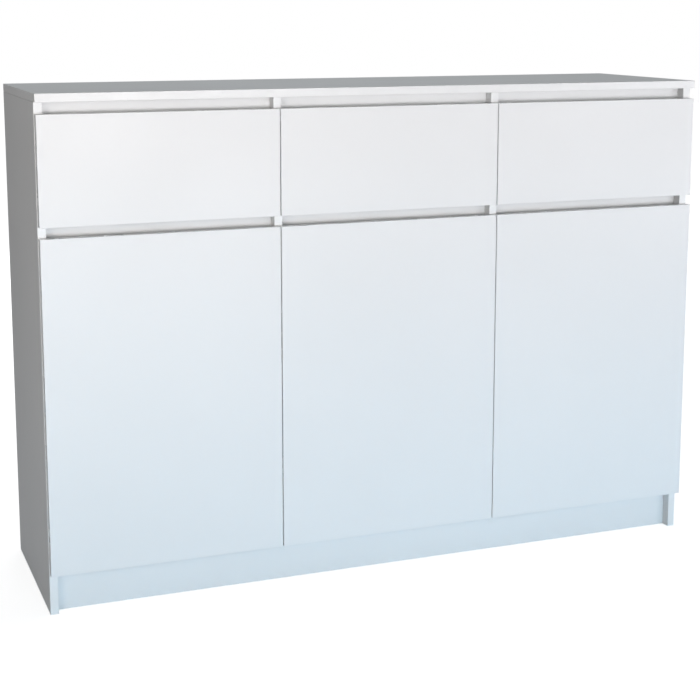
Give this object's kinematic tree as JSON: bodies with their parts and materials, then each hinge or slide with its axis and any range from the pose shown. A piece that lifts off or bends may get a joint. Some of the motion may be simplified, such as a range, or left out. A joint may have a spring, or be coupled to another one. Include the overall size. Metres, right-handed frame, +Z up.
{
  "type": "sideboard",
  "caption": "White sideboard with drawers above hinged doors, all opened by recessed finger grips, on side panels and a set-back plinth.",
  "frame": {"origin": "on the floor, under the middle of the cabinet's box", "axes": "+X to the right along the width, the fronts face -Y, +Z up"},
  "size_m": [1.4, 0.4, 1],
  "materials": {
    "front_board": "white melamine-faced board with matching plastic edging, satin",
    "carcass_board": "white melamine-faced board with a fine orange-peel texture",
    "plinth_board": "white melamine-faced board, satin",
    "drawer_board": "white foil-faced board, matt",
    "hardboard": "thin hardboard, white lacquer on the inner face",
    "slide_steel": "white epoxy-coated sheet steel",
    "hinge_steel": "nickel-plated steel",
    "nylon": "natural nylon",
    "bumper": "clear silicone",
    "screw_steel": "zinc-plated steel"
  },
  "bodies": {
    "carcass": {"top_panel": "carcass_board", "side_panel_left": "carcass_board", "side_panel_right": "carcass_board", "bottom_panel": "carcass_board", "divider_left": "carcass_board", "divider_right": "carcass_board", "plinth": "plinth_board", "centre_support": "plinth_board", "back_panel": "hardboard", "upper_rail_left": "carcass_board", "lower_rail_left": "carcass_board", "shelf_left": "carcass_board", "slide_left_left": "slide_steel", "slide_left_right": "slide_steel", "hinge_arm_left_lower": "hinge_steel", "hinge_arm_left_upper": "hinge_steel", "upper_rail_middle": "carcass_board", "lower_rail_middle": "carcass_board", "shelf_middle": "carcass_board", "slide_middle_left": "slide_steel", "slide_middle_right": "slide_steel", "hinge_arm_middle_lower": "hinge_steel", "hinge_arm_middle_upper": "hinge_steel", "upper_rail_right": "carcass_board", "lower_rail_right": "carcass_board", "shelf_right": "carcass_board", "slide_right_left": "slide_steel", "slide_right_right": "slide_steel", "hinge_arm_right_lower": "hinge_steel", "hinge_arm_right_upper": "hinge_steel"},
    "drawer_left": {"drawer_front_left": "front_board", "drawer_side_left_left": "drawer_board", "drawer_side_left_right": "drawer_board", "drawer_back_left": "drawer_board", "drawer_bottom_left": "hardboard", "runner_left_left": "slide_steel", "runner_left_right": "slide_steel"},
    "door_body_left": {"door_left": "front_board", "hinge_cup_left_lower": "hinge_steel", "hinge_cup_left_upper": "hinge_steel"},
    "drawer_middle": {"drawer_front_middle": "front_board", "drawer_side_middle_left": "drawer_board", "drawer_side_middle_right": "drawer_board", "drawer_back_middle": "drawer_board", "drawer_bottom_middle": "hardboard", "runner_middle_left": "slide_steel", "runner_middle_right": "slide_steel"},
    "door_body_middle": {"door_middle": "front_board", "hinge_cup_middle_lower": "hinge_steel", "hinge_cup_middle_upper": "hinge_steel"},
    "drawer_right": {"drawer_front_right": "front_board", "drawer_side_right_left": "drawer_board", "drawer_side_right_right": "drawer_board", "drawer_back_right": "drawer_board", "drawer_bottom_right": "hardboard", "runner_right_left": "slide_steel", "runner_right_right": "slide_steel"},
    "door_body_right": {"door_right": "front_board", "hinge_cup_right_lower": "hinge_steel", "hinge_cup_right_upper": "hinge_steel"}
  },
  "joints": [
    {"name": "drawer_left_slide", "type": "slide", "parent": "carcass", "child": "drawer_left", "axis": [0, -1, 0], "range_m": [0, 0.26]},
    {"name": "door_left_hinge", "type": "hinge", "parent": "carcass", "child": "door_body_left", "pos_m": [-0.6945, -0.1955, 0.4075], "axis": [0, 0, -1], "range_deg": [0, 95]},
    {"name": "drawer_middle_slide", "type": "slide", "parent": "carcass", "child": "drawer_middle", "axis": [0, -1, 0], "range_m": [0, 0.26]},
    {"name": "door_middle_hinge", "type": "hinge", "parent": "carcass", "child": "door_body_middle", "pos_m": [-0.22783, -0.1955, 0.4075], "axis": [0, 0, -1], "range_deg": [0, 95]},
    {"name": "drawer_right_slide", "type": "slide", "parent": "carcass", "child": "drawer_right", "axis": [0, -1, 0], "range_m": [0, 0.26]},
    {"name": "door_right_hinge", "type": "hinge", "parent": "carcass", "child": "door_body_right", "pos_m": [0.6945, -0.1955, 0.4075], "axis": [0, 0, 1], "range_deg": [0, 95]}
  ]
}
